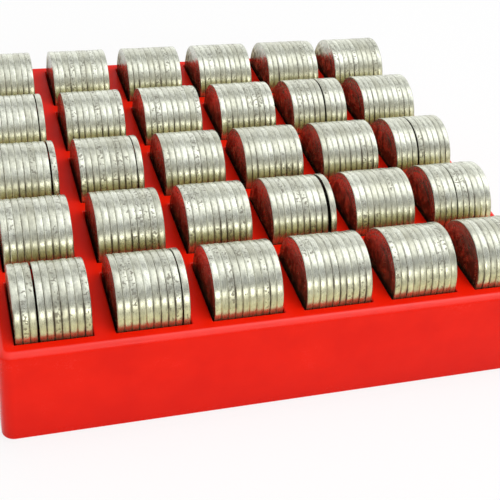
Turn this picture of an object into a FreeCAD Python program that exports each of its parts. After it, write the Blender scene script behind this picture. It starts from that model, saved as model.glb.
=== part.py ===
import FreeCAD, Part
import math
import os

import Sketcher

# Coin organizer tray: a moulded plastic tray, open underneath, with rows of half-round
# pockets in its flat top. Each pocket holds a stack of coins on edge.
# Frame: millimetres, +Z up, origin at the centre of the tray's foot. X runs along the
# coins' axes (left to right) and -Y is the front.

DIMENSIONS = [
    ("columns", 6, "pockets from left to right"),
    ("rows", 5, "pockets from front to rear"),
    ("coins_per_stack", 10, "coins in one pocket"),
    ("coin_diameter", 25.0, "coin, across its rim"),
    ("coin_thickness", 1.85, "coin, over its rims"),
    ("coin_spacing", 0.08, "mean air between two coins that lie together"),
    ("thin_gap", 0.3, "slit where a stack has slipped apart a little"),
    ("wide_gap", 0.5, "slit where a stack has slipped apart clearly"),
    ("broad_gap", 0.9, "slit where a stack has slipped apart widely"),
    ("stack_end_play", 0.55, "air between a tight stack and each end wall of its pocket"),
    ("coin_side_clearance", 0.2, "pocket radius over coin radius"),
    ("coin_seat_clearance", 0.05, "air under a coin at the bottom of its pocket"),
    ("pocket_axis_rise", 0.5, "height of a pocket's axis over the top face"),
    ("divider_width", 5.68, "wall block between two pockets of one row"),
    ("row_land", 4.62, "flat strip of the top face between two rows"),
    ("side_land", 4.3, "flat strip from the outer pockets to the left and right edges"),
    ("front_land", 4.0, "flat strip from the outer pockets to the front and rear edges"),
    ("tray_height", 30.0, "foot to top face"),
    ("wall_thickness", 1.6, "skirt, top plate and pocket shells"),
    ("wall_draft", 0.75, "lean of the skirt in degrees"),
    ("corner_radius", 3.5, "upright corners of the skirt, outside"),
    ("top_edge_radius", 2.0, "rounding between the skirt and the top face"),
    ("mouth_chamfer", 0.25, "broken edge round each pocket's mouth"),
    ("foot_chamfer", 0.4, "broken outer edge of the foot"),
    ("rim_flats", 36, "flats that a stack's round outline is drawn with"),
]

# Stacks that have slipped apart: (row, column), both counted from 1 at the front left
# pocket, then how many coins lie left of the slit and which width the slit has.
SLIPPED_STACKS = {
    (1, 1): (3, "wide_gap"),
    (1, 2): (9, "thin_gap"),
    (2, 4): (9, "broad_gap"),
    (2, 6): (4, "thin_gap"),
    (3, 1): (9, "wide_gap"),
    (3, 2): (9, "thin_gap"),
    (3, 6): (4, "wide_gap"),
    (4, 1): (9, "thin_gap"),
    (4, 5): (6, "wide_gap"),
}

# Places nearer to each other than this, in millimetres, count as one when faces and edges
# are picked.
SAME_PLACE = 0.01

# Sizes that follow from the driving dimensions, as expressions on the sheet "dims".
COIN_RADIUS = "(dims.coin_diameter / 2)"
COIN_STEP = "(dims.coin_thickness + dims.coin_spacing)"
STACK_LENGTH = f"(dims.coins_per_stack * {COIN_STEP} - dims.coin_spacing)"
POCKET_LENGTH = f"({STACK_LENGTH} + 2 * dims.stack_end_play)"
COLUMN_PITCH = f"({POCKET_LENGTH} + dims.divider_width)"
POCKET_RADIUS = f"({COIN_RADIUS} + dims.coin_side_clearance)"
MOUTH_WIDTH = f"(2 * sqrt({POCKET_RADIUS}^2 - dims.pocket_axis_rise^2))"
ROW_PITCH = f"({MOUTH_WIDTH} + dims.row_land)"
POCKET_AXIS_HEIGHT = "(dims.tray_height + dims.pocket_axis_rise)"
COIN_AXIS_HEIGHT = f"({POCKET_AXIS_HEIGHT} - dims.coin_side_clearance + dims.coin_seat_clearance)"
DRAFT_SPREAD = "(2 * dims.tray_height * tan(dims.wall_draft))"
POCKETS_LENGTH = f"(dims.columns * {COLUMN_PITCH} - dims.divider_width)"
POCKETS_WIDTH = f"(dims.rows * {ROW_PITCH} - dims.row_land)"
FOOT_LENGTH = f"({POCKETS_LENGTH} + 2 * dims.side_land + {DRAFT_SPREAD})"
FOOT_WIDTH = f"({POCKETS_WIDTH} + 2 * dims.front_land + {DRAFT_SPREAD})"
SHELL_RADIUS = f"({POCKET_RADIUS} + dims.wall_thickness)"
SHELL_LENGTH = f"({POCKET_LENGTH} + 2 * dims.wall_thickness)"


def make_sheet(doc):
    """The driving dimensions: name, value and meaning, one row each."""
    sheet = doc.addObject("Spreadsheet::Sheet", "dims")
    for line, (name, value, meaning) in enumerate(DIMENSIONS, start=1):
        sheet.set(f"A{line}", name)
        sheet.set(f"B{line}", str(value))
        sheet.setAlias(f"B{line}", name)
        sheet.set(f"C{line}", meaning)
    doc.recompute()
    return sheet


def origin_feature(body, role):
    """One of the body's own origin planes or axes."""
    for feature in body.Origin.OriginFeatures:
        if feature.Role == role:
            return feature
    raise ValueError(role)


def new_sketch(body, name, plane):
    sketch = body.newObject("Sketcher::SketchObject", name)
    sketch.AttachmentSupport = [(origin_feature(body, plane), "")]
    sketch.MapMode = "FlatFace"
    return sketch


def constrain(sketch, name, constraint, expression):
    """Adds a named dimension to a sketch and binds it to the sheet."""
    index = sketch.addConstraint(constraint)
    sketch.renameConstraint(index, name)
    sketch.setExpression(f"Constraints.{name}", expression)


def rounded_rectangle(sketch, length, width, radius):
    """A rectangle with equal round corners about the sketch's origin, length along X and
    width along Y. Lines 0 to 3 run round it from the near side, and arcs 4 to 7 follow
    them at their ends."""
    half_length = sketch.evalExpression(length) / 2
    half_width = sketch.evalExpression(width) / 2
    corner = sketch.evalExpression(radius)
    along = half_length - corner
    up = half_width - corner
    lines = [(-along, -half_width, along, -half_width), (half_length, -up, half_length, up),
             (along, half_width, -along, half_width), (-half_length, up, -half_length, -up)]
    for x1, y1, x2, y2 in lines:
        sketch.addGeometry(
            Part.LineSegment(FreeCAD.Vector(x1, y1, 0), FreeCAD.Vector(x2, y2, 0)), False)
    centres = [(along, -up), (along, up), (-along, up), (-along, -up)]
    for turn, (x, y) in enumerate(centres):
        circle = Part.Circle(FreeCAD.Vector(x, y, 0), FreeCAD.Vector(0, 0, 1), corner)
        first = (turn - 1) * math.pi / 2
        sketch.addGeometry(Part.ArcOfCircle(circle, first, first + math.pi / 2), False)
    for side, direction in enumerate(("Horizontal", "Vertical", "Horizontal", "Vertical")):
        arc = side + 4
        sketch.addConstraint(Sketcher.Constraint("Tangent", side, 2, arc, 1))
        sketch.addConstraint(Sketcher.Constraint("Tangent", arc, 2, (side + 1) % 4, 1))
        sketch.addConstraint(Sketcher.Constraint(direction, side))
    for arc in (5, 6, 7):
        sketch.addConstraint(Sketcher.Constraint("Equal", 4, arc))
    sketch.addConstraint(Sketcher.Constraint("Symmetric", 0, 1, 2, 1, -1, 1))
    constrain(sketch, "length",
              Sketcher.Constraint("DistanceX", 3, 1, 1, 1, 2 * half_length), length)
    constrain(sketch, "width",
              Sketcher.Constraint("DistanceY", 0, 1, 2, 1, 2 * half_width), width)
    constrain(sketch, "radius", Sketcher.Constraint("Radius", 4, corner), radius)


def round_trough(sketch, radius, across, height, chord_height):
    """The section of a trough: an arc below and a level chord above, about a centre that
    lies across the sketch by one expression and up it by another."""
    size = sketch.evalExpression(radius)
    centre = FreeCAD.Vector(sketch.evalExpression(across), sketch.evalExpression(height), 0)
    drop = centre.y - sketch.evalExpression(chord_height)
    dip = math.asin(drop / size)
    circle = Part.Circle(centre, FreeCAD.Vector(0, 0, 1), size)
    sketch.addGeometry(Part.ArcOfCircle(circle, math.pi + dip, 2 * math.pi - dip), False)
    arc = sketch.Geometry[0]
    sketch.addGeometry(Part.LineSegment(arc.EndPoint, arc.StartPoint), False)
    sketch.addConstraint(Sketcher.Constraint("Coincident", 0, 2, 1, 1))
    sketch.addConstraint(Sketcher.Constraint("Coincident", 1, 2, 0, 1))
    sketch.addConstraint(Sketcher.Constraint("Horizontal", 1))
    constrain(sketch, "across",
              Sketcher.Constraint("DistanceX", -1, 1, 0, 3, centre.x), across)
    constrain(sketch, "height",
              Sketcher.Constraint("DistanceY", -1, 1, 0, 3, centre.y), height)
    constrain(sketch, "radius", Sketcher.Constraint("Radius", 0, size), radius)
    constrain(sketch, "chord",
              Sketcher.Constraint("DistanceY", -1, 1, 1, 1, centre.y - drop), chord_height)


def pocket_grid(body, feature, name):
    """Repeats a feature of the front left pocket over all columns and rows."""
    along_row = body.newObject("PartDesign::LinearPattern", f"{name}_along_row")
    along_row.Direction = (origin_feature(body, "X_Axis"), [""])
    along_row.Mode = "Spacing"
    along_row.setExpression("Offset", COLUMN_PITCH)
    along_row.setExpression("Occurrences", "dims.columns")
    to_rear = body.newObject("PartDesign::LinearPattern", f"{name}_to_rear")
    to_rear.Direction = (origin_feature(body, "Y_Axis"), [""])
    to_rear.Mode = "Spacing"
    to_rear.setExpression("Offset", ROW_PITCH)
    to_rear.setExpression("Occurrences", "dims.rows")
    grid = body.newObject("PartDesign::MultiTransform", name)
    grid.Originals = [feature]
    grid.Transformations = [along_row, to_rear]
    body.Tip = grid
    return grid


def named(kind, elements, wanted):
    """Names such as Edge12 of the elements for which wanted(element) is true."""
    return [f"{kind}{number}" for number, element in enumerate(elements, start=1)
            if wanted(element)]


def draft_walls(body, name, base, faces, angle):
    """Leans upright faces about the foot plane."""
    draft = body.newObject("PartDesign::Draft", name)
    draft.Base = (base, faces)
    draft.NeutralPlane = (origin_feature(body, "XY_Plane"), [""])
    draft.setExpression("Angle", angle)
    return draft


def dress(body, kind, name, base, edges, size_name, size):
    """A fillet or chamfer on the named edges, its size bound to the sheet."""
    feature = body.newObject(kind, name)
    feature.Base = (base, edges)
    feature.setExpression(size_name, size)
    return feature


def make_tray(doc, sheet):
    """The tray: a drafted skirt, hollow from below, with a shell for each pocket."""
    body = doc.addObject("PartDesign::Body", "tray")
    body.Label = "tray"
    first_column = f"(-(dims.columns - 1) / 2 * {COLUMN_PITCH})"
    first_row = f"(-(dims.rows - 1) / 2 * {ROW_PITCH})"
    ceiling = sheet.tray_height - sheet.wall_thickness
    half_length = sheet.evalExpression(POCKETS_LENGTH) / 2
    half_width = sheet.evalExpression(POCKETS_WIDTH) / 2

    def is_wall(face):
        return face.BoundBox.ZLength > sheet.tray_height / 2

    def is_cavity_wall(face):
        return is_wall(face) and abs(face.BoundBox.ZMax - ceiling) < SAME_PLACE

    def is_on_top(edge):
        return edge.BoundBox.ZMin > sheet.tray_height - SAME_PLACE

    def is_on_foot(edge):
        return edge.BoundBox.ZMax < SAME_PLACE

    def is_mouth_edge(edge):
        middle = edge.BoundBox.Center
        inside = (abs(middle.x) < half_length + SAME_PLACE
                  and abs(middle.y) < half_width + SAME_PLACE)
        return is_on_top(edge) and inside

    foot = new_sketch(body, "foot_outline", "XY_Plane")
    rounded_rectangle(foot, FOOT_LENGTH, FOOT_WIDTH, "dims.corner_radius")
    block = body.newObject("PartDesign::Pad", "block")
    block.Profile = foot
    block.setExpression("Length", "dims.tray_height")
    doc.recompute()
    skirt = draft_walls(body, "skirt", block,
                        named("Face", block.Shape.Faces, is_wall), "dims.wall_draft")
    doc.recompute()
    top_edge = dress(body, "PartDesign::Fillet", "top_edge", skirt,
                     named("Edge", skirt.Shape.Edges, is_on_top), "Radius",
                     "dims.top_edge_radius")
    doc.recompute()
    foot_edge = dress(body, "PartDesign::Chamfer", "foot_edge", top_edge,
                      named("Edge", top_edge.Shape.Edges, is_on_foot), "Size",
                      "dims.foot_chamfer")
    doc.recompute()

    cavity_foot = new_sketch(body, "cavity_outline", "XY_Plane")
    rounded_rectangle(cavity_foot, f"{FOOT_LENGTH} - 2 * dims.wall_thickness",
                      f"{FOOT_WIDTH} - 2 * dims.wall_thickness",
                      "dims.corner_radius - dims.wall_thickness")
    cavity = body.newObject("PartDesign::Pocket", "cavity")
    cavity.Profile = cavity_foot
    cavity.Reversed = True
    cavity.setExpression("Length", "dims.tray_height - dims.wall_thickness")
    doc.recompute()
    check_cut("cavity", foot_edge, cavity)
    draft_walls(body, "lining", cavity,
                named("Face", cavity.Shape.Faces, is_cavity_wall), "-dims.wall_draft")

    shell_section = new_sketch(body, "shell_section", "YZ_Plane")
    shell_section.setExpression("AttachmentOffset.Base.z", first_column)
    round_trough(shell_section, SHELL_RADIUS, first_row, POCKET_AXIS_HEIGHT,
                 "dims.tray_height - dims.wall_thickness / 2")
    shell = body.newObject("PartDesign::Pad", "pocket_shell")
    shell.Profile = shell_section
    shell.Midplane = True
    shell.setExpression("Length", SHELL_LENGTH)
    doc.recompute()
    shells = pocket_grid(body, shell, "pocket_shells")
    doc.recompute()

    mouth_section = new_sketch(body, "mouth_section", "YZ_Plane")
    mouth_section.setExpression("AttachmentOffset.Base.z", first_column)
    round_trough(mouth_section, POCKET_RADIUS, first_row, POCKET_AXIS_HEIGHT,
                 POCKET_AXIS_HEIGHT)
    mouth = body.newObject("PartDesign::Pocket", "pocket_mouth")
    mouth.Profile = mouth_section
    mouth.Midplane = True
    mouth.setExpression("Length", POCKET_LENGTH)
    doc.recompute()
    check_cut("pocket_mouth", shells, mouth)
    mouths = pocket_grid(body, mouth, "pocket_mouths")
    doc.recompute()
    body.Tip = dress(body, "PartDesign::Chamfer", "mouth_edges", mouths,
                     named("Edge", mouths.Shape.Edges, is_mouth_edge), "Size",
                     "dims.mouth_chamfer")
    return body


def place_disc(disc, row, column, start):
    """Lays a disc on edge in its pocket, its axis along X, with its left face at start
    millimetres from the middle of the pocket."""
    disc.setExpression("Polygon", "dims.rim_flats")
    disc.setExpression("Circumradius", COIN_RADIUS)
    disc.Placement = FreeCAD.Placement(
        FreeCAD.Vector(), FreeCAD.Rotation(FreeCAD.Vector(0, 1, 0), 90))
    pocket_x = f"({column} - (dims.columns + 1) / 2) * {COLUMN_PITCH}"
    disc.setExpression("Placement.Base.x", f"{pocket_x} + {start}")
    disc.setExpression("Placement.Base.y", f"({row} - (dims.rows + 1) / 2) * {ROW_PITCH}")
    disc.setExpression("Placement.Base.z", COIN_AXIS_HEIGHT)


def make_stack(doc, row, column):
    """The coins of one pocket. Coins that lie together are one solid, and a stack that
    has slipped apart is two."""
    name = f"coin_stack_row{row}_col{column}"
    if (row, column) not in SLIPPED_STACKS:
        stack = doc.addObject("Part::Prism", name)
        stack.setExpression("Height", STACK_LENGTH)
        place_disc(stack, row, column, f"(-{STACK_LENGTH} / 2)")
        stack.Label = name
        return stack
    coins_left, gap_name = SLIPPED_STACKS[row, column]
    gap = f"dims.{gap_name}"
    left_end = f"(-({STACK_LENGTH} + {gap} - dims.coin_spacing) / 2)"
    left = doc.addObject("Part::Prism", f"{name}_left")
    left.setExpression("Height", f"{coins_left} * {COIN_STEP} - dims.coin_spacing")
    place_disc(left, row, column, left_end)
    right = doc.addObject("Part::Prism", f"{name}_right")
    right.setExpression(
        "Height", f"(dims.coins_per_stack - {coins_left}) * {COIN_STEP} - dims.coin_spacing")
    place_disc(right, row, column,
               f"{left_end} + {coins_left} * {COIN_STEP} - dims.coin_spacing + {gap}")
    stack = doc.addObject("Part::Compound", name)
    stack.Links = [left, right]
    stack.Label = name
    return stack


def check_cut(name, before, after):
    """A cut that points away from the material removes nothing and says nothing."""
    if after.Shape.Volume >= before.Shape.Volume:
        raise RuntimeError(f"{name} removes nothing")


def write_parts(doc, parts):
    """Stops on any failed object or bad shape, and only then writes the files."""
    for thing in doc.Objects:
        if "Invalid" in thing.State or "Error" in thing.State:
            raise RuntimeError(f"{thing.Label}: {thing.State}")
    for part in parts:
        if part.Shape.isNull() or not part.Shape.isValid():
            raise RuntimeError(f"{part.Label}: bad shape")
    os.makedirs("parts", exist_ok=True)
    for part in parts:
        part.Shape.exportStep(f"parts/{part.Label}.step")


def main():
    doc = FreeCAD.newDocument("coin_organizer_tray")
    sheet = make_sheet(doc)
    parts = [make_tray(doc, sheet)]
    for row in range(1, int(sheet.rows) + 1):
        for column in range(1, int(sheet.columns) + 1):
            parts.append(make_stack(doc, row, column))
    doc.recompute()
    write_parts(doc, parts)
    print(len(parts), "sub-parts, tray volume", round(parts[0].Shape.Volume), "mm3")


main()
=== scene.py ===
import math

import bpy
import numpy as np
from mathutils import Matrix, Vector


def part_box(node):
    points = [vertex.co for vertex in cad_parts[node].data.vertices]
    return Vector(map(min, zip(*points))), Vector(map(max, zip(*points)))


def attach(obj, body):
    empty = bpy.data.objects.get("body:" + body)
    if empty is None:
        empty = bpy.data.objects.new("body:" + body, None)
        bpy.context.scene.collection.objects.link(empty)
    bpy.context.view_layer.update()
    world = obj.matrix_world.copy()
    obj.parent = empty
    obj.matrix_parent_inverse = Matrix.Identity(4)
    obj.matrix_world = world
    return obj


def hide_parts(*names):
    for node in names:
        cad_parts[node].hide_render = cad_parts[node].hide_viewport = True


# Coin organizer tray: glossy red moulded plastic with thirty stacks of worn nickel coins
# on edge. Metres, +Z up, -Y front. Sizes below are in millimetres times MM.
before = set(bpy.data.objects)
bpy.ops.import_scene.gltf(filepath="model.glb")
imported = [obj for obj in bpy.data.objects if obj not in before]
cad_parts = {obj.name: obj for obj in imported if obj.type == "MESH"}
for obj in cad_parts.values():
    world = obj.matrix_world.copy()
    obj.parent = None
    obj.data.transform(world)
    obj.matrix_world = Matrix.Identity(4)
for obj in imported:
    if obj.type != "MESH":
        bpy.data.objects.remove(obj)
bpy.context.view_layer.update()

MM = 0.001

# Coins
COIN_THICKNESS = 1.85 * MM
GROOVE_DEPTH = 0.30 * MM
RIM_WEAR = 0.05 * MM            # most that one coin's radius falls short of the largest
SIDE_PLAY = 0.07 * MM           # most that a coin lies nearer or further than its stack
TILT_PLAY = 0.002               # most lean of a coin, in radians
GAP_SHARES = (0.4, 1.6)         # least and most air between two coins, as a share
RIM_WAVE = 0.022 * MM           # height of the worn waves round a rim
RIM_WAVES = (3, 5, 8, 13)       # how many waves go round a rim, by layer
GROOVE_GRIME_AND_SHADE = (0.40, 1.50)     # least and most grime and painted shade of a groove, as a share
GROOVE_FADING = 0.3             # how far a groove's grime and painted shade come and go round the rim
MARKED_SHARE = 0.45             # share of the coins whose edge is stamped with small marks
MARKED_BETWEEN = (0.1, 0.9)     # part of a coin's thickness that the marks keep to
VISIBLE_STEP = 2.5              # degrees between points on the part of a rim over the tray
HIDDEN_STEP = 10.0              # degrees between points down in the pocket
VISIBLE_FROM = -10.0            # degrees below level at which the fine part starts
BEADS = 48                      # beads round a coin's face
PETALS = 12                     # petals of the rosette on a coin's face

# One rim from its left face to the groove after it: how far along the coin's thickness,
# from 0 to 1, how far inside the rim's radius, and how much grime and painted shade darken
# the metal there, most towards the grooves.
RIM_PROFILE = np.array([
    (0.000, 0.190 * MM, 0.85),
    (0.045, 0.090 * MM, 0.62),
    (0.120, 0.034 * MM, 0.32),
    (0.250, 0.008 * MM, 0.05),
    (0.500, 0.000 * MM, 0.00),
    (0.750, 0.008 * MM, 0.05),
    (0.880, 0.034 * MM, 0.32),
    (0.955, 0.090 * MM, 0.62),
    (1.000, 0.190 * MM, 0.85),
])

# A face from its middle outwards: distance from the axis, depth under the raised rim,
# then the share of the rosette's and of the beads' relief, and the grime and painted shade
# there.
FACE_PROFILE = np.array([
    (0.9 * MM, 0.06 * MM, 0.0, 0.0, 0.60),
    (1.5 * MM, 0.11 * MM, 0.0, 0.0, 0.70),
    (2.3 * MM, 0.12 * MM, 0.2, 0.0, 0.68),
    (3.6 * MM, 0.12 * MM, 0.9, 0.0, 0.62),
    (5.2 * MM, 0.12 * MM, 1.0, 0.0, 0.62),
    (6.5 * MM, 0.12 * MM, 0.5, 0.0, 0.65),
    (7.3 * MM, 0.12 * MM, 0.0, 0.0, 0.70),
    (7.7 * MM, 0.09 * MM, 0.0, 0.0, 0.62),
    (8.1 * MM, 0.09 * MM, 0.0, 0.0, 0.62),
    (8.4 * MM, 0.12 * MM, 0.0, 0.0, 0.70),
    (9.8 * MM, 0.12 * MM, 0.0, 0.0, 0.68),
    (10.1 * MM, 0.12 * MM, 0.0, 0.8, 0.62),
    (10.5 * MM, 0.12 * MM, 0.0, 1.0, 0.62),
    (10.8 * MM, 0.12 * MM, 0.0, 0.3, 0.70),
    (11.2 * MM, 0.03 * MM, 0.0, 0.0, 0.50),
    (12.1 * MM, 0.00 * MM, 0.0, 0.0, 0.40),
])
PETAL_HEIGHT = 0.08 * MM
BEAD_HEIGHT = 0.11 * MM
FACE_SHADE_SHARES = (1.50, 0.38)       # painted shade: share of a face's grime and shade at its axis and at its top
RUBBED_CLEAN = (0.35, 0.80)     # share of it that is rubbed off petals and beads

# A face that looks into a slit only has its raised rim, and is painted black as shade.
SLIT_FACE_PROFILE = FACE_PROFILE[[0, -3, -2, -1]] * (1, 1, 0, 0, 8)

# Colours of the coins' metal: where it is clean on the brightest and on the dullest coin,
# yellowed, worn dark, and under grime or painted shade
BRIGHT_METAL = (0.89, 0.915, 0.79, 1)
DULL_METAL = (0.74, 0.76, 0.645, 1)
YELLOWED_METAL = (0.56, 0.55, 0.40, 1)
WORN_METAL = (0.10, 0.10, 0.085, 1)
GRIME_AND_SHADE_COLOUR = (0.070, 0.048, 0.030, 1)

# How fine the metal's patterns are, in cells for each metre, along all axes or along
# X, Y and Z
YELLOW_PATCHES = 180.0
GRIME_CLOUDS = 380.0
STAINS = 420.0
MOTTLES = 760.0
STAMPS = 1450.0
PITS = 1500.0
WORN_STREAKS = (1900.0, 160.0, 160.0)
BRUSHING = (5200.0, 260.0, 260.0)
DENTS = (900.0, 480.0, 480.0)

# Worn metal: how much the streaks and mottles dim it. Then painted shade and warm
# reflection, darker and yellower, that deepens from one height over the foot down to another.
WORN_DIMMING = 0.36
WARM_SHADE_FROM = 39.2 * MM
WARM_SHADE_FULL = 33.2 * MM
WARM_SHADE_TINT = (0.92, 0.85, 0.55, 1)

# Grime and painted shade are lighter at the first height over the foot and heavier at the
# second, by these shares, as painted shade low on the coins. Grime and painted shade take
# the shine off at a grazing look.
COIN_SHADE_FROM = 42.0 * MM
COIN_SHADE_FULL = 35.5 * MM
COIN_SHADE_SHARES = (0.30, 1.35)
GRIME_CLOUD_SHARES = (0.60, 1.25)
DULL_EDGE = (0.45, 0.40, 0.34, 1)

# Between these heights painted shade darkens the coins where they dip into the tray.
FOOT_SHADE_FROM = 32.4 * MM
FOOT_SHADE_FULL = 30.4 * MM
FOOT_SHADE = 0.45

# How metallic clean metal and metal under grime or painted shade are, the roughness of
# brushed metal, and what a dull coin and a pit add to it and grime or painted shade takes off
METAL_SHARES = (0.90, 0.70)
BRUSHED_ROUGHNESS = (0.19, 0.31)
DULL_ROUGHNESS = 0.05
PIT_ROUGHNESS = 0.25
GRIME_AND_SHADE_SMOOTHING = 0.06
DENT_HEIGHT = 0.06 * MM
DENT_STRENGTH = 0.5

# Reds of the plastic: two that drift into each other, a deeper one for painted shade low on
# the walls up to a height over the foot, and one for scuffs close to the foot
RED = (0.96, 0.014, 0.002, 1)
DEEPER_RED = (0.88, 0.010, 0.001, 1)
SHADED_LOW_RED = (0.70, 0.008, 0.002, 1)
LOW_SHADE_SHARE = 0.5
LOW_SHADE_UP_TO = 16.0 * MM
SCUFFED_RED = (0.55, 0.012, 0.012, 1)
SCUFFS_UP_TO = 3.0 * MM

# How fine the plastic's patterns are, in cells for each metre
RED_CLOUDS = 60.0
FLOW_WAVES = 110.0
GRAIN = 2600.0
SCUFFS = (900.0, 900.0, 5200.0)

# Roughness of the plastic, and what its grain and its scuffs add
PLASTIC_ROUGHNESS = (0.17, 0.25)
GRAIN_ROUGHNESS = 0.05
SCUFF_ROUGHNESS = 0.3
FLOW_HEIGHT = 0.15 * MM
FLOW_STRENGTH = 0.12

# Gloss of the plastic's walls and of its finely grained top, and how much more gloss and
# roughness its rubbed edges have
WALL_GLOSS = 0.11
TOP_GLOSS = 0.045
EDGE_GLOSS = 0.50
EDGE_ROUGHNESS = 0.18

# Light from all round: its level, how fast it rises to the right high up, and between
# which heights of the sky, from 0 at the horizon to 1, that sets in
GLOW = 0.68
GLOW_LEAN = 2.2
LEAN_HEIGHTS = (0.55, 0.85)
LEAST_GLOW = 0.05

# Cards that only mirror in shiny surfaces: name, place, the point it faces, width, height
# and level, where white is 1. Then the part of a card's half height and half width that
# has its full level.
CARDS = (
    ("front_card", (0.30, -0.82, 0.90), (0.0, 0.0, 0.03), 4.0, 0.94, 0.34),
    ("ceiling_card", (0.30, 0.46, 0.96), (0.0, 0.0, 0.03), 4.0, 0.50, 0.42),
    ("table_card", (0.30, -1.32, 0.14), (0.30, 0.0, 0.14), 4.0, 0.36, 0.45),
    ("overhead_card", (0.24, -0.045, 0.49), (0.0, -0.045, 0.03), 0.42, 0.76, 1.90),
    ("rear_card", (0.30, 1.20, 0.30), (0.30, 0.0, 0.20), 4.0, 0.60, 1.25),
    ("front_strip", (0.14, -1.15, 0.48), (0.12, 0.0, 0.0), 1.15, 0.32, 4.0),
)
CARD_PLATEAU = 0.35

# Lamps that light and aren't mirrored: name, place, the point it faces, width, depth, watts
LAMPS = (
    ("overhead", (0.28, -0.08, 0.86), (0.0, 0.0, 0.0), 0.38, 0.60, 2.05),
    ("front", (0.1, -1.2, 0.53), (0.0, 0.0, 0.0), 1.6, 0.26, 3.0),
)

# Floor: half its side, its colour as it lights the tray, its finish, and the share of its
# look that is plain white
FLOOR_HALF = 3.0
FLOOR_COLOUR = (0.80, 0.80, 0.80, 1)
FLOOR_ROUGHNESS = 0.9
FLOOR_GLOSS = 0.1
FLOOR_WHITENING = 0.8
WHITE = (1, 1, 1, 1)

# Camera, measured from the coins' rims and the tray's edges
CAMERA_PLACE = Vector((-87.27, -269.14, 209.07)) * MM
CAMERA_HEADING = 20.187         # degrees from +Y towards +X
CAMERA_DOWN = 36.753            # degrees below level
CAMERA_ROLL = 6.569             # degrees, right side up
CAMERA_LENS = 73.65             # millimetres on a 36 mm sensor
SENSOR_WIDTH = 36.0


def nodes_of(material):
    """The node tree of a new material and its shader."""
    material.use_nodes = True
    tree = material.node_tree
    return tree, tree.nodes["Principled BSDF"]


def add(tree, kind, inputs=None, **settings):
    """A node with its settings and with inputs that are numbers or sockets."""
    node = tree.nodes.new(kind)
    for name, value in settings.items():
        setattr(node, name, value)
    for name, value in (inputs or {}).items():
        if isinstance(value, bpy.types.NodeSocket):
            tree.links.new(value, node.inputs[name])
        else:
            node.inputs[name].default_value = value
    return node


def math_node(tree, operation, *values):
    """The result of one sum on numbers or sockets."""
    node = add(tree, "ShaderNodeMath", dict(enumerate(values)), operation=operation)
    return node.outputs[0]


def noise(tree, place, scale, detail=3.0, roughness=0.5):
    """Noise whose scale is in cells for each metre."""
    node = add(tree, "ShaderNodeTexNoise",
               {"Vector": place, "Scale": scale, "Detail": detail, "Roughness": roughness})
    return node.outputs["Fac"]


def ramp(tree, value, low, high, start=0.0, end=1.0):
    """A straight rise from start to end while the value goes from low to high."""
    node = add(tree, "ShaderNodeMapRange",
               {"Value": value, "From Min": low, "From Max": high, "To Min": start,
                "To Max": end}, clamp=True)
    return node.outputs["Result"]


def blend_colours(tree, share, first, second, blend="MIX"):
    """The first colour at a share of 0 and the second, or their blend, at 1."""
    node = tree.nodes.new("ShaderNodeMix")
    node.data_type = "RGBA"
    node.blend_type = blend
    for socket, value in ((node.inputs[0], share), (node.inputs[6], first),
                          (node.inputs[7], second)):
        if isinstance(value, bpy.types.NodeSocket):
            tree.links.new(value, socket)
        else:
            socket.default_value = value
    return node.outputs[2]


def stretched(tree, scale):
    """Object coordinates with each axis stretched by its own factor."""
    place = add(tree, "ShaderNodeTexCoord").outputs["Object"]
    return add(tree, "ShaderNodeMapping", {"Vector": place, "Scale": scale}).outputs["Vector"]


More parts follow.
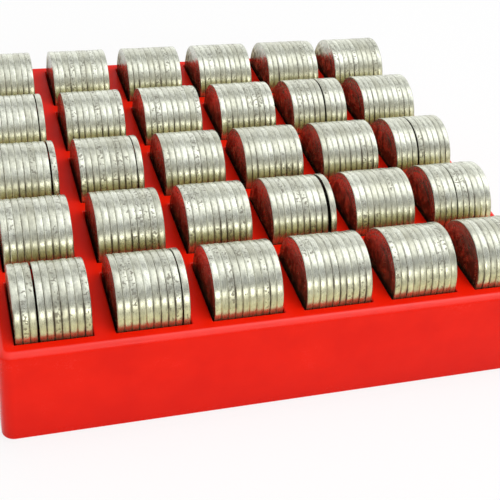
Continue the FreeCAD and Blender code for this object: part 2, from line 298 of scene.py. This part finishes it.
def make_coin_metal():
    """Worn nickel: brushed round the rim, yellowed in patches, dark in pits, dark with grime
    and painted shade in the grooves, and with painted shade, darker and warmer, low on the
    coins and at their feet.
    """
    material = bpy.data.materials.new("worn_nickel")
    tree, shader = nodes_of(material)
    place = add(tree, "ShaderNodeTexCoord").outputs["Object"]
    tone = add(tree, "ShaderNodeAttribute", attribute_name="coin_tone").outputs["Fac"]
    grime_and_shade = add(tree, "ShaderNodeAttribute", attribute_name="grime_and_shade").outputs["Fac"]
    height_over_foot = add(tree, "ShaderNodeSeparateXYZ", {"Vector": place}).outputs["Z"]
    # The grime here carries painted shade too, and is painted heavier low on the coins as
    # shade.
    grime_and_shade = math_node(tree, "MULTIPLY", grime_and_shade, ramp(
        tree, height_over_foot, COIN_SHADE_FROM, COIN_SHADE_FULL, *COIN_SHADE_SHARES))
    grime_and_shade = math_node(tree, "MULTIPLY", grime_and_shade, ramp(
        tree, noise(tree, place, GRIME_CLOUDS, 2.0), 0.35, 0.65, *GRIME_CLOUD_SHARES))
    grime_and_shade = math_node(tree, "MINIMUM", grime_and_shade, 1.0)

    patches = noise(tree, place, YELLOW_PATCHES, 4.0, 0.6)
    yellowing = ramp(tree, math_node(tree, "ADD", patches, math_node(
        tree, "MULTIPLY", tone, 0.25)), 0.5, 0.95)
    clean = blend_colours(tree, tone, BRIGHT_METAL, DULL_METAL)
    metal = blend_colours(tree, math_node(tree, "MULTIPLY", yellowing, 0.5), clean,
                          YELLOWED_METAL)
    streaks = noise(tree, stretched(tree, WORN_STREAKS), 1.0, 3.0, 0.65)
    mottles = noise(tree, place, MOTTLES, 3.0, 0.7)
    worn = math_node(tree, "ADD", ramp(tree, streaks, 0.38, 0.62, 0.0, 0.5),
                     ramp(tree, mottles, 0.40, 0.60, 0.0, 0.5))
    metal = blend_colours(tree, math_node(tree, "MULTIPLY", worn, WORN_DIMMING), metal,
                          WORN_METAL)
    # Painted shade and warm reflection: darker and yellower low on the coins.
    warm_shade = ramp(tree, height_over_foot, WARM_SHADE_FROM, WARM_SHADE_FULL)
    warm_shaded = blend_colours(tree, 1.0, metal, WARM_SHADE_TINT, "MULTIPLY")
    metal = blend_colours(tree, warm_shade, metal, warm_shaded)
    pits = ramp(tree, noise(tree, place, PITS, 2.0), 0.70, 0.75)
    stains_and_shade = ramp(tree, noise(tree, place, STAINS, 4.0, 0.7), 0.68, 0.80, 0.0, 0.5)
    marks = add(tree, "ShaderNodeAttribute", attribute_name="edge_marks").outputs["Fac"]
    stamped = math_node(tree, "MULTIPLY", marks, ramp(
        tree, noise(tree, place, STAMPS, 0.0), 0.58, 0.66, 0.0, 0.65))
    pits = math_node(tree, "MAXIMUM", pits, stamped)
    # Painted shade where the coins dip into the tray, joined with the real stains.
    foot_shade = ramp(tree, height_over_foot, FOOT_SHADE_FROM, FOOT_SHADE_FULL, 0.0, FOOT_SHADE)
    stains_and_shade = math_node(tree, "MAXIMUM", stains_and_shade, foot_shade)
    # Pits, stains, grime and painted shade all darken the metal towards one dark colour.
    dark = math_node(tree, "MAXIMUM", pits, math_node(tree, "MAXIMUM", stains_and_shade, grime_and_shade))
    colour = blend_colours(tree, math_node(tree, "MULTIPLY", dark, 0.9), metal,
                           GRIME_AND_SHADE_COLOUR)
    tree.links.new(colour, shader.inputs["Base Color"])
    tree.links.new(ramp(tree, grime_and_shade, 0.0, 1.0, *METAL_SHARES), shader.inputs["Metallic"])
    dull = blend_colours(tree, ramp(tree, grime_and_shade, 0.1, 0.9), WHITE, DULL_EDGE)
    tree.links.new(dull, shader.inputs["Specular Tint"])

    brushing = noise(tree, stretched(tree, BRUSHING), 1.0, 3.0, 0.6)
    rough = math_node(tree, "ADD", ramp(tree, brushing, 0.3, 0.7, *BRUSHED_ROUGHNESS),
                      math_node(tree, "MULTIPLY", tone, DULL_ROUGHNESS))
    rough = math_node(tree, "ADD", rough, math_node(tree, "MULTIPLY", pits, PIT_ROUGHNESS))
    rough = math_node(tree, "SUBTRACT", rough,
                      math_node(tree, "MULTIPLY", grime_and_shade, GRIME_AND_SHADE_SMOOTHING))
    tree.links.new(rough, shader.inputs["Roughness"])

    dents = noise(tree, stretched(tree, DENTS), 1.0, 3.0, 0.6)
    height = math_node(tree, "ADD", dents, math_node(tree, "MULTIPLY", brushing, 0.12))
    height = math_node(tree, "SUBTRACT", height, math_node(tree, "MULTIPLY", pits, 0.5))
    bump = add(tree, "ShaderNodeBump", {"Height": height, "Strength": DENT_STRENGTH,
                                        "Distance": DENT_HEIGHT})
    tree.links.new(bump.outputs["Normal"], shader.inputs["Normal"])
    return material


def make_tray_plastic():
    """Red moulded plastic: glossy, faintly uneven, with fine scuffs near the foot and painted
    shade low on its walls.
    """
    material = bpy.data.materials.new("red_plastic")
    tree, shader = nodes_of(material)
    place = add(tree, "ShaderNodeTexCoord").outputs["Object"]
    clouds = noise(tree, place, RED_CLOUDS, 3.0, 0.55)
    colour = blend_colours(tree, ramp(tree, clouds, 0.35, 0.65), DEEPER_RED, RED)
    scuffs = noise(tree, stretched(tree, SCUFFS), 1.0, 2.0)
    height_over_foot = add(tree, "ShaderNodeSeparateXYZ", {"Vector": place}).outputs["Z"]
    near_foot = ramp(tree, height_over_foot, 0.0, SCUFFS_UP_TO, 1.0, 0.0)
    # Painted shade: the walls darker towards the foot.
    lower_wall_shade = ramp(tree, height_over_foot, 0.0, LOW_SHADE_UP_TO, LOW_SHADE_SHARE, 0.0)
    colour = blend_colours(tree, lower_wall_shade, colour, SHADED_LOW_RED)
    scuffed = math_node(tree, "MULTIPLY", ramp(tree, scuffs, 0.52, 0.75), near_foot)
    colour = blend_colours(tree, math_node(tree, "MULTIPLY", scuffed, 0.5), colour,
                           SCUFFED_RED)
    tree.links.new(colour, shader.inputs["Base Color"])
    facing_up = add(tree, "ShaderNodeSeparateXYZ", {
        "Vector": add(tree, "ShaderNodeNewGeometry").outputs["Normal"]}).outputs["Z"]
    edge = math_node(tree, "MULTIPLY", ramp(tree, facing_up, 0.25, 0.75),
                     ramp(tree, facing_up, 0.99, 0.94))
    gloss = math_node(tree, "ADD", ramp(tree, facing_up, 0.5, 1.0, WALL_GLOSS, TOP_GLOSS),
                      math_node(tree, "MULTIPLY", edge, EDGE_GLOSS))
    tree.links.new(gloss, shader.inputs["Specular IOR Level"])

    grain = noise(tree, place, GRAIN, 2.0)
    rough = math_node(tree, "ADD", ramp(tree, clouds, 0.3, 0.7, *PLASTIC_ROUGHNESS),
                      ramp(tree, grain, 0.3, 0.7, 0.0, GRAIN_ROUGHNESS))
    rough = math_node(tree, "ADD", rough,
                      math_node(tree, "MULTIPLY", scuffed, SCUFF_ROUGHNESS))
    rough = math_node(tree, "ADD", rough, math_node(tree, "MULTIPLY", edge, EDGE_ROUGHNESS))
    tree.links.new(rough, shader.inputs["Roughness"])

    flow = noise(tree, place, FLOW_WAVES, 2.0)
    height = math_node(tree, "ADD", flow, math_node(tree, "MULTIPLY", grain, 0.03))
    bump = add(tree, "ShaderNodeBump", {"Height": height, "Strength": FLOW_STRENGTH,
                                        "Distance": FLOW_HEIGHT})
    tree.links.new(bump.outputs["Normal"], shader.inputs["Normal"])
    return material


def rim_angles():
    """Angles round a coin from the front, over the top and through the pocket, close
    together where the rim shows."""
    visible = np.arange(VISIBLE_FROM, 180.0 - VISIBLE_FROM + 0.01, VISIBLE_STEP)
    hidden = np.arange(180.0 - VISIBLE_FROM + HIDDEN_STEP, 360.0 + VISIBLE_FROM, HIDDEN_STEP)
    return np.radians(np.concatenate([visible, hidden]))


def coin_groups(node):
    """Start and end along X of each run of coins that lie together in a stack."""
    flat = np.empty(len(node.data.vertices) * 3, np.float32)
    node.data.vertices.foreach_get("co", flat)
    ends = np.unique(np.round(flat[::3].astype(float), 6))
    return ends.reshape(-1, 2)


def face_rows(profile, plane, inwards, turn):
    """Rows of a coin's face from its middle outwards. Depth goes inwards from the face's
    plane. The rosette rises as a cosine of the angle times the number of petals, and the
    beads as a cosine of the angle times the number of beads. A face has painted shade that
    lightens towards its top, and is cleaner where its relief stands out. Returns x, radius
    and grime with painted shade."""
    radius, depth, petal_share, bead_share, grime_and_shade = (profile[:, k, None] for k in range(5))
    angles = rim_angles()[None, :]
    petals = 0.5 + 0.5 * np.cos(PETALS * (angles + turn))
    beads = 0.5 + 0.5 * np.cos(BEADS * angles)
    relief = PETAL_HEIGHT * petal_share * petals + BEAD_HEIGHT * bead_share * beads
    x = plane + inwards * (depth - relief)
    highness = np.clip(radius / radius.max() * np.sin(angles), 0.0, 1.0)
    # Painted shade: a face is darker low down and lighter towards its top.
    grime_and_shade = grime_and_shade * (FACE_SHADE_SHARES[0] + (FACE_SHADE_SHARES[1] - FACE_SHADE_SHARES[0]) * highness)
    grime_and_shade = grime_and_shade * (1.0 - RUBBED_CLEAN[0] * petal_share * petals)
    grime_and_shade = grime_and_shade * (1.0 - RUBBED_CLEAN[1] * bead_share * beads)
    return x, radius * np.ones_like(angles), grime_and_shade


def group_surface(start, end, coin_radius, randomness, first_face, last_face):
    """One run of coins as a closed surface of revolution about the stack's axis. The
    profile goes out over the left face, over each rim and into the groove after it, and
    in over the right face. Each coin has its own wear, place, lean and waves, so a row of
    the grid is a nearly round ring. Marks and a groove's grime and painted shade come and
    go as a sine of twice the angle. Returns x, distance along -Y and up from the axis,
    tone, grime with painted shade, and marks, each with one row for each profile point and
    one column for an angle."""
    coins = round((end - start) / COIN_THICKNESS)
    angles = rim_angles()[None, :]
    spare = end - start - coins * COIN_THICKNESS
    shares = randomness.uniform(*GAP_SHARES, coins - 1)
    gaps = np.append(spare * shares / shares.sum(), 0.0)
    left = start + np.concatenate([[0.0], np.cumsum(COIN_THICKNESS + gaps[:-1])])
    wear = RIM_WEAR * randomness.uniform(0.0, 1.0, coins)
    forward = SIDE_PLAY * randomness.uniform(-1.0, 1.0, coins)
    lean = TILT_PLAY * randomness.uniform(-1.0, 1.0, (2, coins))
    tone = randomness.uniform(0.0, 1.0, coins)
    marked = randomness.uniform(0.0, 1.0, coins) < MARKED_SHARE
    marks_start = randomness.uniform(0.0, 2 * math.pi, coins)

    groove = np.array([(1.0, GROOVE_DEPTH, 1.0)])
    profile = np.concatenate([RIM_PROFILE, groove])
    along = left[:, None] + COIN_THICKNESS * profile[None, :, 0]
    along[:, -1] += gaps / 2
    inside = np.repeat(profile[None, :, 1], coins, 0)
    # Grime and painted shade in the grooves between coins.
    groove_grime_and_shade = randomness.uniform(*GROOVE_GRIME_AND_SHADE, coins + 1)
    right_half = profile[:, 0] > 0.5
    grime_and_shade = profile[None, :, 2] * np.where(
        right_half, groove_grime_and_shade[1:, None], groove_grime_and_shade[:-1, None])
    middle = (profile[:, 0] > MARKED_BETWEEN[0]) & (profile[:, 0] < MARKED_BETWEEN[1])
    marks = marked[:, None] * middle[None, :]
    owner = np.repeat(np.arange(coins)[:, None], len(profile), 1)
    keep = coins * len(profile) - 1
    along, inside, grime_and_shade, marks, owner = (
        a.ravel()[:keep] for a in (along, inside, grime_and_shade, marks, owner))

    layers = np.array(RIM_WAVES)
    phases = randomness.uniform(0.0, 2 * math.pi, (coins, len(layers)))
    waves = np.sin(layers[None, :, None] * angles[:, None, :] + phases[:, :, None])
    waves = RIM_WAVE * (waves / np.sqrt(layers)[None, :, None]).sum(1)
    waves = waves - waves.max(1, keepdims=True)
    radius = coin_radius - inside[:, None] - wear[owner][:, None] + waves[owner]
    x = np.repeat(along[:, None], angles.size, 1)
    fading = np.sin(2 * angles + marks_start[owner][:, None])
    grime_and_shade = grime_and_shade[:, None] * (1 - GROOVE_FADING + GROOVE_FADING * fading)
    marks = marks[:, None] * (fading > 0)

    turn = randomness.uniform(0.0, 2 * math.pi, 2)
    x_first, r_first, g_first = face_rows(first_face, start, 1.0, turn[0])
    x_last, r_last, g_last = face_rows(last_face[::-1], end, -1.0, turn[1])
    x = np.concatenate([x_first, x, x_last])
    radius = np.concatenate([r_first, radius, r_last])
    grime_and_shade = np.concatenate([g_first, grime_and_shade, g_last])
    marks = np.concatenate([0 * r_first, marks, 0 * r_last])
    owner = np.concatenate([np.zeros(len(r_first), int), owner,
                            np.full(len(r_last), coins - 1)])

    ahead = radius * np.cos(angles) + forward[owner][:, None]
    up = radius * np.sin(angles) - wear[owner][:, None]
    x = x + lean[0, owner][:, None] * ahead + lean[1, owner][:, None] * up
    return x, ahead, up, np.repeat(tone[owner][:, None], angles.size, 1), grime_and_shade, marks


def closed_grid(rows, columns, first):
    """Faces of a grid that closes round its columns, with a pole before the first row and
    one after the last. The grid's points start at number first, and the poles follow."""
    ids = first + np.arange(rows * columns).reshape(rows, columns)
    onward = np.roll(ids, -1, 1)
    quads = np.stack([ids[:-1], ids[1:], onward[1:], onward[:-1]], -1).reshape(-1, 4)
    start_pole, end_pole = first + rows * columns, first + rows * columns + 1
    start_fan = np.stack([np.full(columns, start_pole), ids[0], onward[0]], -1)
    end_fan = np.stack([ids[-1], np.full(columns, end_pole), onward[-1]], -1)
    return quads.tolist() + start_fan.tolist() + end_fan.tolist()


def make_stack(name, node, metal, seed):
    """The coins of one pocket: a closed surface for each run of coins."""
    low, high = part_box(name)
    coin_radius = (high.z - low.z) / 2
    axis_y = (high.y + low.y) / 2
    axis_z = (high.z + low.z) / 2
    randomness = np.random.default_rng(seed)
    groups = coin_groups(node)
    points, tones, grimes, marks, faces = [], [], [], [], []
    for number, (start, end) in enumerate(groups):
        first_face = FACE_PROFILE if number == 0 else SLIT_FACE_PROFILE
        last_face = FACE_PROFILE if number == len(groups) - 1 else SLIT_FACE_PROFILE
        x, ahead, up, tone, grime_and_shade, marked = group_surface(
            start, end, coin_radius, randomness, first_face, last_face)
        faces += closed_grid(*x.shape, sum(len(p) for p in points))
        grid = np.stack([x, axis_y - ahead, axis_z + up], -1)
        poles = np.stack([grid[0].mean(0), grid[-1].mean(0)])
        points.append(np.concatenate([grid.reshape(-1, 3), poles]))
        tones.append(np.concatenate([tone.ravel(), [tone[0, 0], tone[-1, 0]]]))
        grimes.append(np.concatenate([grime_and_shade.ravel(), [0.0, 0.0]]))
        marks.append(np.concatenate([marked.ravel(), [0.0, 0.0]]))
    mesh = bpy.data.meshes.new(name)
    mesh.from_pydata(np.concatenate(points), [], faces)
    for label, values in (("coin_tone", tones), ("grime_and_shade", grimes), ("edge_marks", marks)):
        layer = mesh.attributes.new(label, "FLOAT", "POINT")
        layer.data.foreach_set("value", np.concatenate(values).astype(np.float32))
    mesh.shade_smooth()
    mesh.materials.append(metal)
    piece = bpy.data.objects.new(f"coins_{name.removeprefix('coin_stack_')}", mesh)
    bpy.context.scene.collection.objects.link(piece)
    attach(piece, "root")
    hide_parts(name)


def add_rectangle(mesh, half_width, half_height):
    """A flat rectangle in the plane of X and Y, centred on the origin."""
    w, h = half_width, half_height
    mesh.from_pydata([(-w, -h, 0), (w, -h, 0), (w, h, 0), (-w, h, 0)], [], [(0, 1, 2, 3)])


def seen_or_mirrored(tree):
    """1 where the camera looks straight at a thing, or at it in a mirror or through glass."""
    path = add(tree, "ShaderNodeLightPath").outputs
    mirrored = math_node(tree, "MAXIMUM", path["Is Glossy Ray"], path["Is Transmission Ray"])
    return math_node(tree, "MAXIMUM", path["Is Camera Ray"], mirrored)


def make_floor():
    """A plain pale floor under the tray. Where it is seen or mirrored it keeps only a part
    of the tray's shadow and red glow."""
    mesh = bpy.data.meshes.new("floor")
    add_rectangle(mesh, FLOOR_HALF, FLOOR_HALF)
    material = bpy.data.materials.new("floor_white")
    tree, shader = nodes_of(material)
    seen = seen_or_mirrored(tree)
    colour = blend_colours(tree, seen, FLOOR_COLOUR, WHITE)
    tree.links.new(colour, shader.inputs["Base Color"])
    shader.inputs["Roughness"].default_value = FLOOR_ROUGHNESS
    shader.inputs["Specular IOR Level"].default_value = FLOOR_GLOSS
    white = add(tree, "ShaderNodeEmission").outputs[0]
    share = math_node(tree, "MULTIPLY", seen, FLOOR_WHITENING)
    surface = add(tree, "ShaderNodeMixShader", {0: share, 1: shader.outputs[0], 2: white})
    tree.links.new(surface.outputs[0], tree.nodes["Material Output"].inputs["Surface"])
    mesh.materials.append(material)
    floor = bpy.data.objects.new("floor", mesh)
    bpy.context.scene.collection.objects.link(floor)


def make_world():
    """White wherever it is seen or mirrored. As light it is dimmer, and from high up it
    comes from the right."""
    world = bpy.data.worlds.new("studio")
    bpy.context.scene.world = world
    world.use_nodes = True
    tree = world.node_tree
    direction = add(tree, "ShaderNodeTexCoord").outputs["Generated"]
    parts = add(tree, "ShaderNodeSeparateXYZ", {"Vector": direction}).outputs
    lean = math_node(tree, "MULTIPLY", ramp(tree, parts["Z"], *LEAN_HEIGHTS, 0.0, GLOW_LEAN),
                     parts["X"])
    level = math_node(tree, "MAXIMUM", math_node(tree, "ADD", lean, GLOW), LEAST_GLOW)
    seen = seen_or_mirrored(tree)
    colour = blend_colours(tree, seen, level, WHITE)
    tree.links.new(colour, tree.nodes["Background"].inputs["Color"])


def face_towards(thing, place, aim):
    """Put a card or lamp at its place, with its front to a point."""
    thing.location = place
    thing.rotation_euler = (Vector(aim) - Vector(place)).to_track_quat("-Z", "Y").to_euler()


def add_card(name, place, aim, width, height, level):
    """A card that only mirrors in shiny surfaces, as in a product studio. Its level blends
    into the white round it over the outer part of its height and width."""
    mesh = bpy.data.meshes.new(name)
    add_rectangle(mesh, width / 2, height / 2)
    material = bpy.data.materials.new(name)
    tree, shader = nodes_of(material)
    across = add(tree, "ShaderNodeSeparateXYZ", {
        "Vector": add(tree, "ShaderNodeTexCoord").outputs["Object"]}).outputs
    inside = [add(tree, "ShaderNodeMapRange",
                  {"Value": math_node(tree, "ABSOLUTE", across[axis]), "From Min": half,
                   "From Max": half * CARD_PLATEAU},
                  clamp=True, interpolation_type="SMOOTHSTEP").outputs["Result"]
              for axis, half in (("X", width / 2), ("Y", height / 2))]
    share = math_node(tree, "MULTIPLY", *inside)
    strength = math_node(tree, "ADD", math_node(tree, "MULTIPLY", share, level - 1.0), 1.0)
    glow = add(tree, "ShaderNodeEmission", {"Strength": strength})
    tree.links.new(glow.outputs[0], tree.nodes["Material Output"].inputs["Surface"])
    tree.nodes.remove(shader)
    mesh.materials.append(material)
    card = bpy.data.objects.new(name, mesh)
    face_towards(card, place, aim)
    card.visible_camera = card.visible_diffuse = card.visible_shadow = False
    bpy.context.scene.collection.objects.link(card)


def add_softbox(name, place, aim, width, depth, watts):
    """A rectangular lamp that doesn't show and isn't mirrored."""
    lamp = bpy.data.lights.new(name, "AREA")
    lamp.shape = "RECTANGLE"
    lamp.size = width
    lamp.size_y = depth
    lamp.energy = watts
    light = bpy.data.objects.new(name, lamp)
    face_towards(light, place, aim)
    light.visible_camera = light.visible_glossy = False
    bpy.context.scene.collection.objects.link(light)


def make_camera():
    """A camera at its place, turned by its heading, tilted down and then rolled."""
    heading, down, roll = (math.radians(a) for a in (CAMERA_HEADING, CAMERA_DOWN, CAMERA_ROLL))
    forward = Vector((math.sin(heading) * math.cos(down), math.cos(heading) * math.cos(down),
                      -math.sin(down)))
    level = forward.cross(Vector((0, 0, 1))).normalized()
    upright = level.cross(forward)
    right = math.cos(roll) * level + math.sin(roll) * upright
    up = math.cos(roll) * upright - math.sin(roll) * level
    camera = bpy.data.cameras.new("camera")
    camera.lens = CAMERA_LENS
    camera.sensor_width = SENSOR_WIDTH
    view = bpy.data.objects.new("camera", camera)
    rotation = Matrix((right, up, -forward)).transposed().to_4x4()
    view.matrix_world = Matrix.Translation(CAMERA_PLACE) @ rotation
    bpy.context.scene.collection.objects.link(view)
    bpy.context.scene.camera = view


metal = make_coin_metal()
stacks = sorted(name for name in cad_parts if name.startswith("coin_stack_"))
for seed, name in enumerate(stacks):
    make_stack(name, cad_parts[name], metal, seed)

plastic = make_tray_plastic()
for material_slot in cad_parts["tray"].material_slots:
    material_slot.material = plastic

make_floor()
make_world()
for card in CARDS:
    add_card(*card)
for lamp in LAMPS:
    add_softbox(*lamp)
make_camera()
bpy.context.scene.view_settings.view_transform = "Standard"
